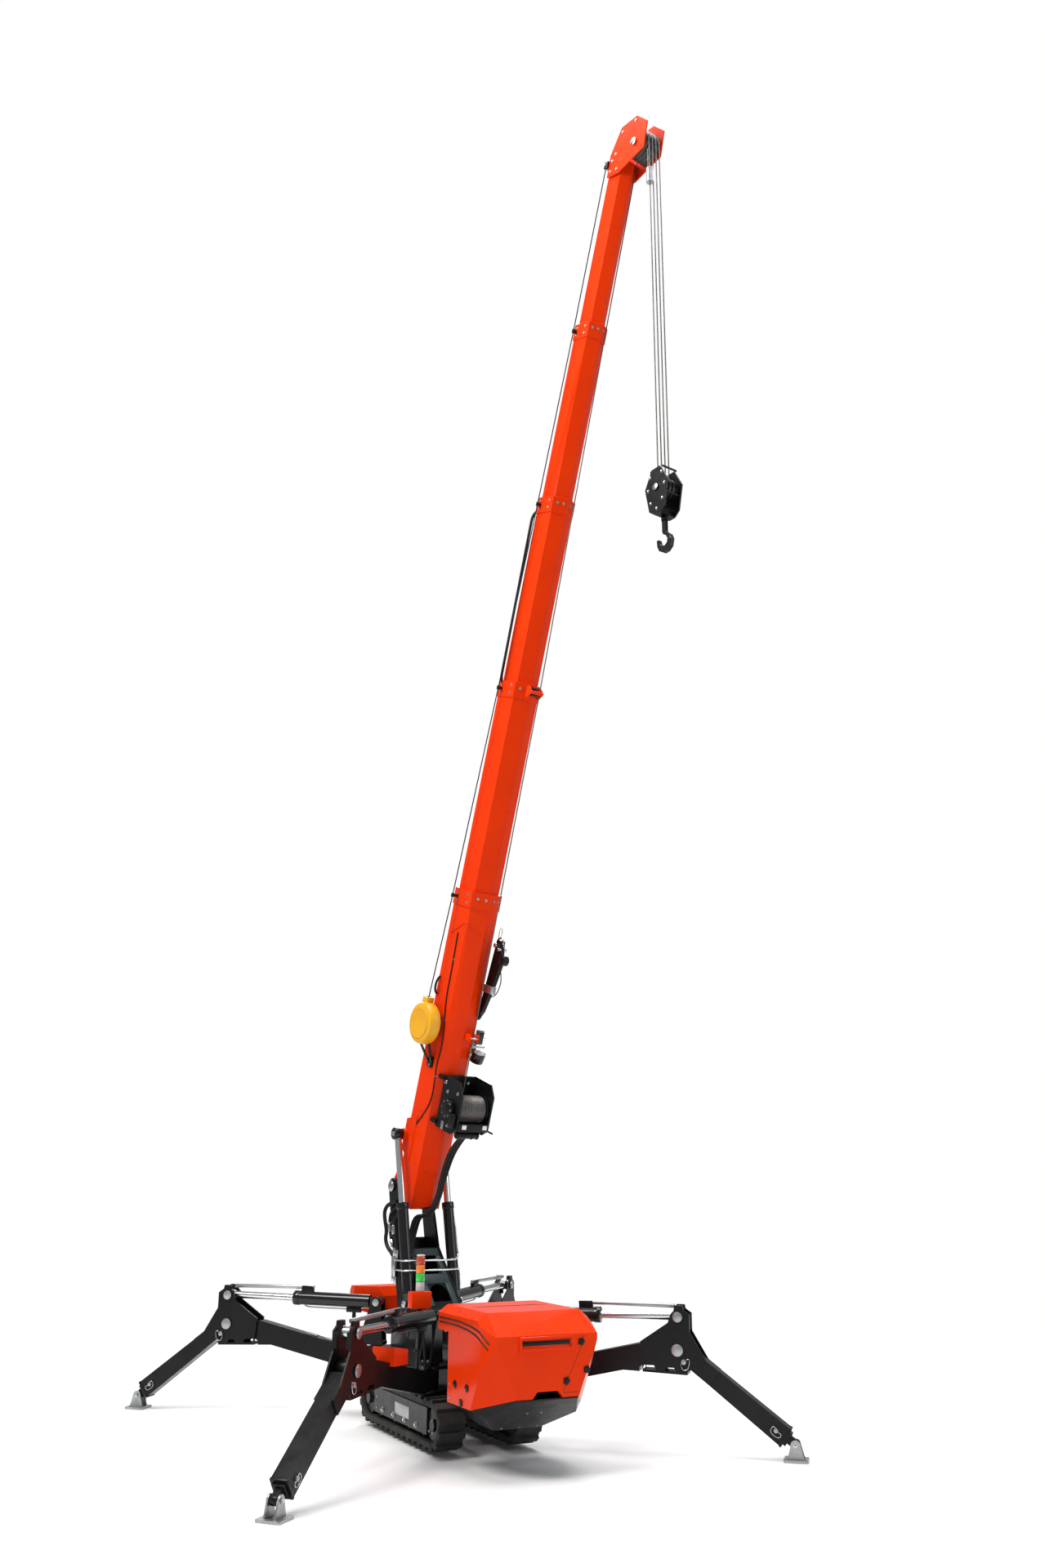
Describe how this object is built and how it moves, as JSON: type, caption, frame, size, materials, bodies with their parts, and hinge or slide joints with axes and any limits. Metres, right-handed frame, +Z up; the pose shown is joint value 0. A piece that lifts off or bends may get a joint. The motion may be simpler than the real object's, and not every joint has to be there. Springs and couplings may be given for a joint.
{
  "type": "spider crane",
  "caption": "Compact crane on rubber tracks with a telescopic boom raised over its engine hood, standing on folding outriggers with pads, a hook block hanging from the head.",
  "frame": {"origin": "on the floor under the centre of the whole part's bounding box", "axes": "+Z up along the crane's height, -Y towards the engine hood, +X to the right of someone who looks along +Y"},
  "size_m": [3.774, 4.7902, 9.9134],
  "materials": {
    "black_paint": "satin near-black paint",
    "orange_paint": "gloss orange paint",
    "track_rubber": "dull black rubber",
    "engine_iron": "bare casting",
    "lamp_plastic": "coloured lamp housings",
    "cylinder_paint": "gloss black paint",
    "rod_chrome": "hard chrome",
    "yellow_plastic": "satin yellow",
    "sheave_plastic": "black nylon",
    "galvanised": "zinc plated",
    "steel_rope": "greased wire rope",
    "hook_paint": "dark slate paint"
  },
  "bodies": {
    "chassis": {"chassis_frame": "black_paint", "track_left": "track_rubber", "track_right": "track_rubber", "track_frame_left": "black_paint", "track_frame_right": "black_paint", "engine_hood": "orange_paint", "belly_tray": "black_paint", "engine_block": "engine_iron", "rear_cover": "orange_paint", "stack_light": "lamp_plastic"},
    "post": {"slewing_post": "black_paint"},
    "lift_barrels": {"lift_cylinder_barrels": "cylinder_paint"},
    "lift_rods": {"lift_cylinder_rods": "rod_chrome"},
    "boom_base": {"boom_section_1": "orange_paint", "winch_frame": "black_paint", "cable_reel": "yellow_plastic", "hook_stow_bracket": "black_paint"},
    "boom_2": {"boom_section_2": "orange_paint", "rope_guide": "black_paint"},
    "boom_3": {"boom_section_3": "orange_paint"},
    "boom_4": {"boom_section_4": "orange_paint"},
    "boom_5": {"boom_section_5": "orange_paint", "boom_head": "orange_paint", "head_sheaves": "sheave_plastic"},
    "winch_drum": {"winch_drum": "steel_rope"},
    "falls": {"rope_falls": "steel_rope", "limit_switch_weight": "galvanised"},
    "hook_block": {"hook_block": "hook_paint"},
    "hook": {"hook": "hook_paint"},
    "arm_left_front": {"inner_arm_left_front": "black_paint", "arm_guard": "orange_paint"},
    "leg_barrel_left_front": {"leg_cylinder_barrel_left_front": "cylinder_paint"},
    "leg_rod_left_front": {"leg_cylinder_rod_left_front": "rod_chrome"},
    "outer_leg_left_front": {"outer_leg_left_front": "black_paint"},
    "extension_left_front": {"leg_extension_left_front": "black_paint"},
    "pad_left_front": {"foot_pad_left_front": "galvanised"},
    "arm_right_front": {"inner_arm_right_front": "black_paint"},
    "leg_barrel_right_front": {"leg_cylinder_barrel_right_front": "cylinder_paint"},
    "leg_rod_right_front": {"leg_cylinder_rod_right_front": "rod_chrome"},
    "outer_leg_right_front": {"outer_leg_right_front": "black_paint"},
    "extension_right_front": {"leg_extension_right_front": "black_paint"},
    "pad_right_front": {"foot_pad_right_front": "galvanised"},
    "arm_left_rear": {"inner_arm_left_rear": "black_paint"},
    "leg_barrel_left_rear": {"leg_cylinder_barrel_left_rear": "cylinder_paint"},
    "leg_rod_left_rear": {"leg_cylinder_rod_left_rear": "rod_chrome"},
    "outer_leg_left_rear": {"outer_leg_left_rear": "black_paint"},
    "extension_left_rear": {"leg_extension_left_rear": "black_paint"},
    "pad_left_rear": {"foot_pad_left_rear": "galvanised"},
    "arm_right_rear": {"inner_arm_right_rear": "black_paint"},
    "leg_barrel_right_rear": {"leg_cylinder_barrel_right_rear": "cylinder_paint"},
    "leg_rod_right_rear": {"leg_cylinder_rod_right_rear": "rod_chrome"},
    "outer_leg_right_rear": {"outer_leg_right_rear": "black_paint"},
    "extension_right_rear": {"leg_extension_right_rear": "black_paint"},
    "pad_right_rear": {"foot_pad_right_rear": "galvanised"}
  },
  "joints": [
    {"name": "slew", "type": "hinge", "parent": "chassis", "child": "post", "pos_m": [-0.008, 0.421, 0.8], "axis": [0, 0, 1], "continuous": true},
    {"name": "boom_luff", "type": "hinge", "parent": "post", "child": "boom_base", "pos_m": [-0.08291, 0.83731, 1.715], "axis": [-0.9842, -0.1771, 0], "range_deg": [-71, 5]},
    {"name": "lift_barrel_tilt", "type": "hinge", "parent": "post", "child": "lift_barrels", "pos_m": [-0.01721, 0.47218, 0.878], "axis": [-0.9842, -0.1771, 0], "range_deg": [-20, 5]},
    {"name": "lift_rod_slide", "type": "slide", "parent": "lift_barrels", "child": "lift_rods", "axis": [-0.0332, 0.1847, 0.9822], "range_m": [-0.48, 0.06]},
    {"name": "boom_extend", "type": "slide", "parent": "boom_base", "child": "boom_2", "axis": [0.0559, -0.3107, 0.9489], "range_m": [-1.22, 0]},
    {"name": "boom_3_slide", "type": "slide", "parent": "boom_2", "child": "boom_3", "axis": [0.0559, -0.3107, 0.9489], "range_m": [-1.22, 0]},
    {"name": "boom_4_slide", "type": "slide", "parent": "boom_3", "child": "boom_4", "axis": [0.0559, -0.3107, 0.9489], "range_m": [-1.22, 0]},
    {"name": "boom_5_slide", "type": "slide", "parent": "boom_4", "child": "boom_5", "axis": [0.0559, -0.3107, 0.9489], "range_m": [-1.22, 0]},
    {"name": "winch_turn", "type": "hinge", "parent": "boom_base", "child": "winch_drum", "pos_m": [0.08676, 0.14847, 2.29097], "axis": [-0.9842, -0.1771, 0], "continuous": true},
    {"name": "fall_swing", "type": "hinge", "parent": "boom_5", "child": "falls", "pos_m": [0.45355, -2.14416, 9.66523], "axis": [-0.9842, -0.1771, 0], "range_deg": [-6, 72]},
    {"name": "hoist", "type": "slide", "parent": "falls", "child": "hook_block", "axis": [0, 0, -1], "range_m": [-2.35, 5.8], "deforming": ["rope_falls"]},
    {"name": "hook_swivel", "type": "hinge", "parent": "hook_block", "child": "hook", "pos_m": [0.47538, -2.26552, 6.3], "axis": [0, 0, 1], "continuous": true},
    {"name": "swivel_left_front", "type": "hinge", "parent": "chassis", "child": "arm_left_front", "pos_m": [-0.282, -0.183, 0.6], "axis": [0, 0, 1], "range_deg": [-40, 20]},
    {"name": "knee_left_front", "type": "hinge", "parent": "arm_left_front", "child": "outer_leg_left_front", "pos_m": [-1.21172, -1.02898, 0.659], "axis": [0.673, -0.7396, 0], "range_deg": [-68, 2]},
    {"name": "barrel_tilt_left_front", "type": "hinge", "parent": "arm_left_front", "child": "leg_barrel_left_front", "pos_m": [-0.282, -0.183, 0.852], "axis": [0.673, -0.7396, 0], "range_deg": [-6, 16]},
    {"name": "rod_slide_left_front", "type": "slide", "parent": "leg_barrel_left_front", "child": "leg_rod_left_front", "axis": [-0.7395, -0.6729, 0.0158], "range_m": [-0.26, 0.04]},
    {"name": "leg_extend_left_front", "type": "slide", "parent": "outer_leg_left_front", "child": "extension_left_front", "axis": [-0.598, -0.5441, -0.5885], "range_m": [0, 0.25]},
    {"name": "foot_tilt_left_front", "type": "hinge", "parent": "extension_left_front", "child": "pad_left_front", "pos_m": [-1.77975, -1.54585, 0.1], "axis": [0.673, -0.7396, 0], "range_deg": [-30, 30]},
    {"name": "swivel_right_front", "type": "hinge", "parent": "chassis", "child": "arm_right_front", "pos_m": [0.282, -0.183, 0.6], "axis": [0, 0, -1], "range_deg": [-40, 20]},
    {"name": "knee_right_front", "type": "hinge", "parent": "arm_right_front", "child": "outer_leg_right_front", "pos_m": [1.21172, -1.02898, 0.659], "axis": [0.673, 0.7396, 0], "range_deg": [-68, 2]},
    {"name": "barrel_tilt_right_front", "type": "hinge", "parent": "arm_right_front", "child": "leg_barrel_right_front", "pos_m": [0.282, -0.183, 0.852], "axis": [0.673, 0.7396, 0], "range_deg": [-6, 16]},
    {"name": "rod_slide_right_front", "type": "slide", "parent": "leg_barrel_right_front", "child": "leg_rod_right_front", "axis": [0.7395, -0.6729, 0.0158], "range_m": [-0.26, 0.04]},
    {"name": "leg_extend_right_front", "type": "slide", "parent": "outer_leg_right_front", "child": "extension_right_front", "axis": [0.598, -0.5441, -0.5885], "range_m": [0, 0.25]},
    {"name": "foot_tilt_right_front", "type": "hinge", "parent": "extension_right_front", "child": "pad_right_front", "pos_m": [1.77975, -1.54585, 0.1], "axis": [0.673, 0.7396, 0], "range_deg": [-30, 30]},
    {"name": "swivel_left_rear", "type": "hinge", "parent": "chassis", "child": "arm_left_rear", "pos_m": [-0.282, 0.925, 0.6], "axis": [0, 0, -1], "range_deg": [-40, 14]},
    {"name": "knee_left_rear", "type": "hinge", "parent": "arm_left_rear", "child": "outer_leg_left_rear", "pos_m": [-1.21172, 1.77098, 0.659], "axis": [-0.673, -0.7396, 0], "range_deg": [-68, 2]},
    {"name": "barrel_tilt_left_rear", "type": "hinge", "parent": "arm_left_rear", "child": "leg_barrel_left_rear", "pos_m": [-0.282, 0.925, 0.852], "axis": [-0.673, -0.7396, 0], "range_deg": [-6, 16]},
    {"name": "rod_slide_left_rear", "type": "slide", "parent": "leg_barrel_left_rear", "child": "leg_rod_left_rear", "axis": [-0.7395, 0.6729, 0.0158], "range_m": [-0.26, 0.04]},
    {"name": "leg_extend_left_rear", "type": "slide", "parent": "outer_leg_left_rear", "child": "extension_left_rear", "axis": [-0.598, 0.5441, -0.5885], "range_m": [0, 0.25]},
    {"name": "foot_tilt_left_rear", "type": "hinge", "parent": "extension_left_rear", "child": "pad_left_rear", "pos_m": [-1.77975, 2.28785, 0.1], "axis": [-0.673, -0.7396, 0], "range_deg": [-30, 30]},
    {"name": "swivel_right_rear", "type": "hinge", "parent": "chassis", "child": "arm_right_rear", "pos_m": [0.282, 0.925, 0.6], "axis": [0, 0, 1], "range_deg": [-40, 14]},
    {"name": "knee_right_rear", "type": "hinge", "parent": "arm_right_rear", "child": "outer_leg_right_rear", "pos_m": [1.21172, 1.77098, 0.659], "axis": [-0.673, 0.7396, 0], "range_deg": [-68, 2]},
    {"name": "barrel_tilt_right_rear", "type": "hinge", "parent": "arm_right_rear", "child": "leg_barrel_right_rear", "pos_m": [0.282, 0.925, 0.852], "axis": [-0.673, 0.7396, 0], "range_deg": [-6, 16]},
    {"name": "rod_slide_right_rear", "type": "slide", "parent": "leg_barrel_right_rear", "child": "leg_rod_right_rear", "axis": [0.7395, 0.6729, 0.0158], "range_m": [-0.26, 0.04]},
    {"name": "leg_extend_right_rear", "type": "slide", "parent": "outer_leg_right_rear", "child": "extension_right_rear", "axis": [0.598, 0.5441, -0.5885], "range_m": [0, 0.25]},
    {"name": "foot_tilt_right_rear", "type": "hinge", "parent": "extension_right_rear", "child": "pad_right_rear", "pos_m": [1.77975, 2.28785, 0.1], "axis": [-0.673, 0.7396, 0], "range_deg": [-30, 30]}
  ],
  "couplings": [
    {"joint": "lift_barrel_tilt", "follows": "boom_luff", "ratio": 0.23134},
    {"joint": "lift_rod_slide", "follows": "boom_luff", "m_per_rad": 0.3109},
    {"joint": "boom_3_slide", "follows": "boom_extend", "ratio": 1},
    {"joint": "boom_4_slide", "follows": "boom_extend", "ratio": 1},
    {"joint": "boom_5_slide", "follows": "boom_extend", "ratio": 1},
    {"joint": "fall_swing", "follows": "boom_luff", "ratio": -1},
    {"joint": "barrel_tilt_left_front", "follows": "knee_left_front", "ratio": -0.073524},
    {"joint": "rod_slide_left_front", "follows": "knee_left_front", "m_per_rad": 0.18461},
    {"joint": "barrel_tilt_right_front", "follows": "knee_right_front", "ratio": -0.073524},
    {"joint": "rod_slide_right_front", "follows": "knee_right_front", "m_per_rad": 0.18461},
    {"joint": "barrel_tilt_left_rear", "follows": "knee_left_rear", "ratio": -0.073524},
    {"joint": "rod_slide_left_rear", "follows": "knee_left_rear", "m_per_rad": 0.18461},
    {"joint": "barrel_tilt_right_rear", "follows": "knee_right_rear", "ratio": -0.073524},
    {"joint": "rod_slide_right_rear", "follows": "knee_right_rear", "m_per_rad": 0.18461}
  ]
}
